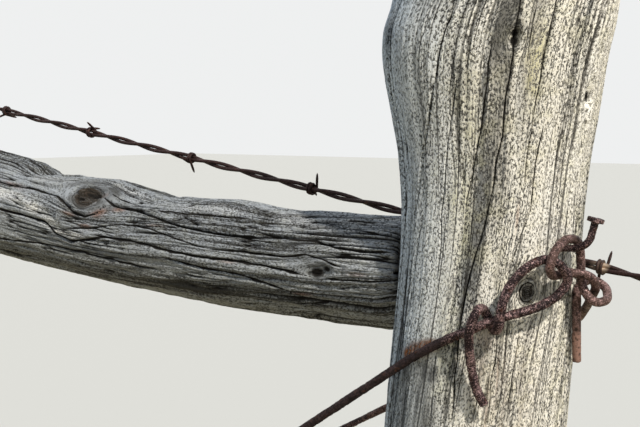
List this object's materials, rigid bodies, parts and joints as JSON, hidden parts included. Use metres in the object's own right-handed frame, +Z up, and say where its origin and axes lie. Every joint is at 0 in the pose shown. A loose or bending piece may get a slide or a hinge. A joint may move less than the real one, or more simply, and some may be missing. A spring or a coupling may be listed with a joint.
{
  "type": "wooden post and rail brace of a barbed wire fence",
  "caption": "Weathered round-post fence: a braced bay with a butted rail and a hooked brace wire, and a line bay, strung with barbed wire.",
  "frame": {"origin": "centre of the brace post's flat foot", "axes": "+X along the fence towards the line post, +Y through the fence to the side that carries the strands, +Z up"},
  "size_m": [3.0886, 0.1618, 1.57],
  "materials": {
    "post_wood": "weathered round log, grey with pale ridges and dark checks",
    "rail_wood": "weathered round log, dark blue grey with black furrows",
    "brace_wire": "pitted brown rust",
    "nail_steel": "dark pitted rust",
    "barbed_wire": "brown rust"
  },
  "bodies": {
    "root": {"end_post": "post_wood", "brace_post": "post_wood", "line_post": "post_wood", "brace_rail": "rail_wood", "brace_wire_front_leg": "brace_wire", "brace_wire_front_eye": "brace_wire", "brace_wire_foot_loop": "brace_wire", "brace_wire_back_leg": "brace_wire", "brace_wire_back_eye": "brace_wire", "bent_nail": "nail_steel", "barbed_strand_1": "barbed_wire", "barbed_strand_2": "barbed_wire", "barbed_strand_3": "barbed_wire", "barbed_strand_4": "barbed_wire", "end_tie_1": "barbed_wire", "line_tie_1": "barbed_wire", "end_tie_2": "barbed_wire", "line_tie_2": "barbed_wire", "end_tie_3": "barbed_wire", "line_tie_3": "barbed_wire", "end_tie_4": "barbed_wire", "line_tie_4": "barbed_wire", "staple_1": "nail_steel", "staple_2": "nail_steel", "staple_3": "nail_steel", "staple_4": "nail_steel"}
  },
  "joints": []
}
